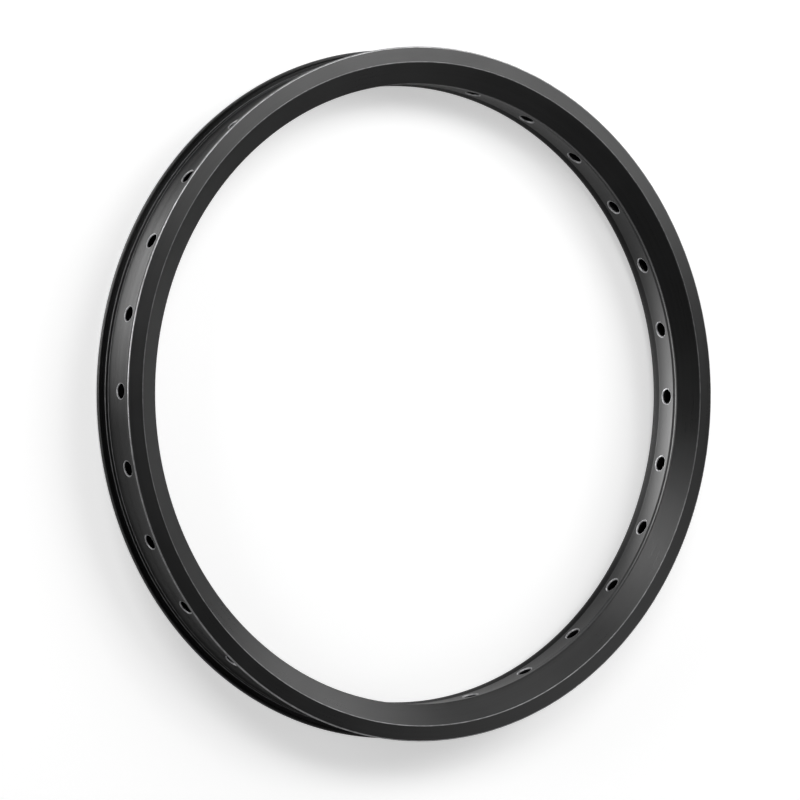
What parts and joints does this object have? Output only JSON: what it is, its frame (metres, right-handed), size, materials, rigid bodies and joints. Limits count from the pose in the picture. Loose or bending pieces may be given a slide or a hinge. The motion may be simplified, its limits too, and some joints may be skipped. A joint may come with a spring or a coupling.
{
  "type": "bicycle rim",
  "caption": "Bare black double-wall bicycle rim: a hollow aluminium hoop with a hooked tyre channel, leaning sides and radial spoke holes.",
  "frame": {"origin": "the middle of the hoop, where the wheel's axis crosses the rim's middle plane", "axes": "+Z along the wheel's axis, so the rim lies flat on its side; the first spoke hole is close to +X"},
  "size_m": [0.4156, 0.4156, 0.0396],
  "materials": {
    "black_anodised": "satin"
  },
  "bodies": {
    "root": {"rim": "black_anodised"}
  },
  "joints": []
}
